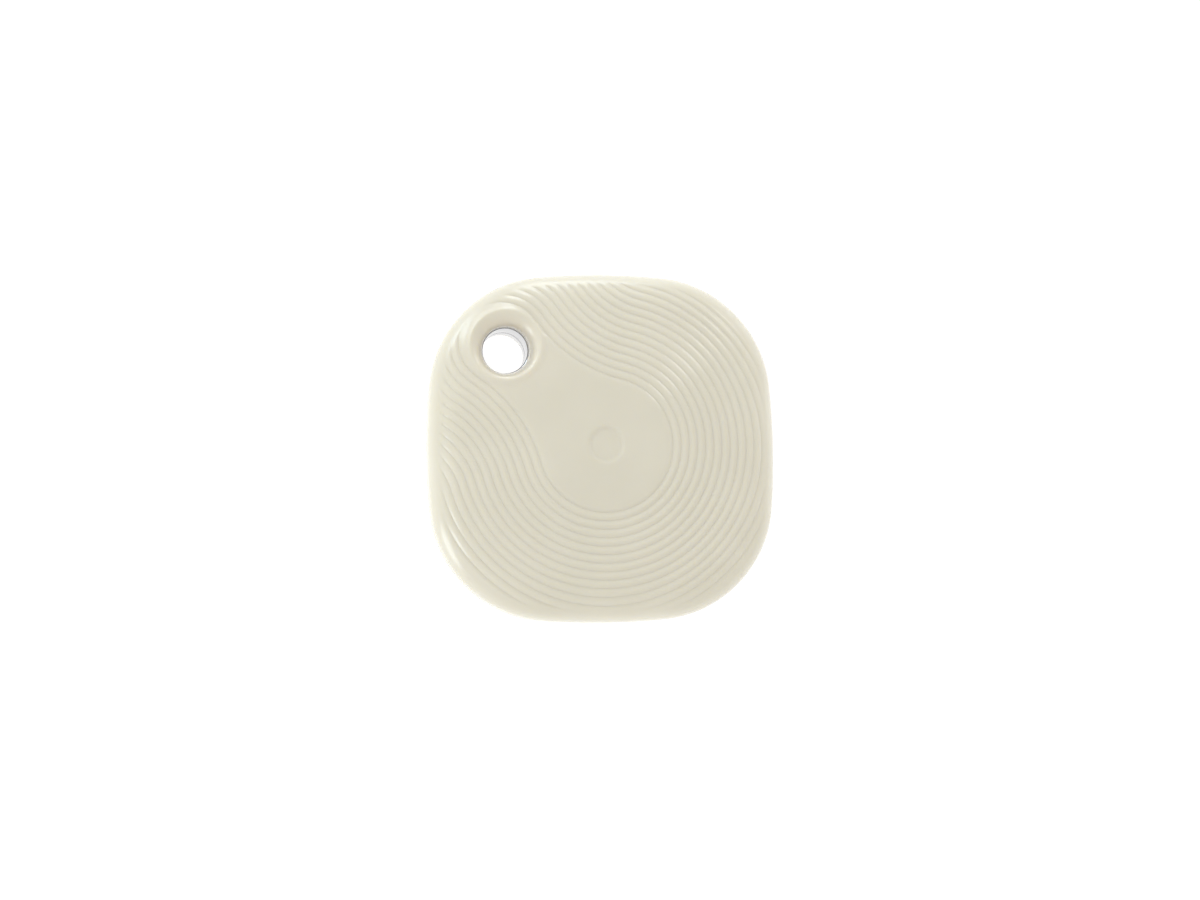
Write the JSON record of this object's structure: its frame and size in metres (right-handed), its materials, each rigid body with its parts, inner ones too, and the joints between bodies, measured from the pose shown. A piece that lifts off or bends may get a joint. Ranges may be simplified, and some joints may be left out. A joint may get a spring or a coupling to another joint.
{
  "type": "bluetooth tracker tag",
  "caption": "Rounded-square key-ring tracker tag with a domed, contour-ridged press face, a metal-lined corner hole and a removable back over a coin cell.",
  "frame": {"origin": "centre of the flat back face, at the middle of the part's footprint", "axes": "+Z out of the ridged front face; the key-ring hole is at -X +Y, parallel to Z; the tag lies on its back"},
  "size_m": [0.039, 0.039, 0.0099],
  "materials": {
    "shell": "satin-gloss moulded plastic, warm cream",
    "carrier": "fine matt moulded plastic, off-white",
    "eyelet": "polished bright metal, fine turning marks",
    "seal": "soft matt elastomer, warm grey",
    "black_rubber": "soft matt elastomer, black",
    "solder_mask": "glossy green solder mask over glass-fibre laminate",
    "chip_black": "fine matt moulding compound, black",
    "plated_steel": "nickel-plated pressed steel",
    "white_ceramic": "glazed white ceramic",
    "tan_ceramic": "fired tan ceramic with tinned ends",
    "ferrite": "pressed ferrite, dark grey",
    "gold_plate": "gold-plated copper, satin",
    "brass_plate": "rolled brass, satin",
    "spring_contact": "gold-flashed spring bronze, satin",
    "foam": "closed-cell foam, dark grey",
    "lead_red": "enamelled wire, red",
    "cell_steel": "pressed nickel-plated steel, satin",
    "cell_fill": "pressed powder, black",
    "cell_gasket": "moulded sealing ring, dark blue"
  },
  "bodies": {
    "housing": {"inner_carrier": "carrier", "eyelet_bush": "eyelet", "perimeter_seal": "seal", "circuit_board": "solder_mask", "radio_chip": "chip_black", "crystals": "plated_steel", "chip_antenna": "white_ceramic", "capacitors": "tan_ceramic", "resistors": "chip_black", "boost_coil": "ferrite", "test_pads": "gold_plate", "switch_body": "chip_black", "switch_frame": "plated_steel", "buzzer_ring": "foam", "buzzer_plate": "brass_plate", "buzzer_ceramic": "white_ceramic", "buzzer_leads": "lead_red", "negative_contact": "spring_contact", "positive_contact": "spring_contact"},
    "press_cover": {"front_cover": "shell", "press_pad": "black_rubber"},
    "plunger": {"switch_plunger": "carrier"},
    "back": {"rear_cover": "shell", "cell_pad": "foam"},
    "cell": {"cell_can": "cell_steel", "cell_core": "cell_fill", "cell_gasket": "cell_gasket", "cell_cap": "cell_steel"}
  },
  "joints": [
    {"name": "cover_press", "type": "slide", "parent": "housing", "child": "press_cover", "axis": [0, 0, -1], "range_m": [0, 0.0003], "stiffness_N_per_m": 8000},
    {"name": "plunger_press", "type": "slide", "parent": "housing", "child": "plunger", "axis": [0, 0, -1], "range_m": [0, 0.0003]},
    {"name": "case_open", "type": "slide", "parent": "back", "child": "housing", "axis": [0, 0, 1], "range_m": [0, 0.03]},
    {"name": "cell_out", "type": "slide", "parent": "back", "child": "cell", "axis": [0, 0, 1], "range_m": [0, 0.015]}
  ],
  "couplings": [
    {"joint": "plunger_press", "follows": "cover_press", "ratio": 1},
    {"joint": "cell_out", "follows": "case_open", "ratio": 0.5}
  ]
}
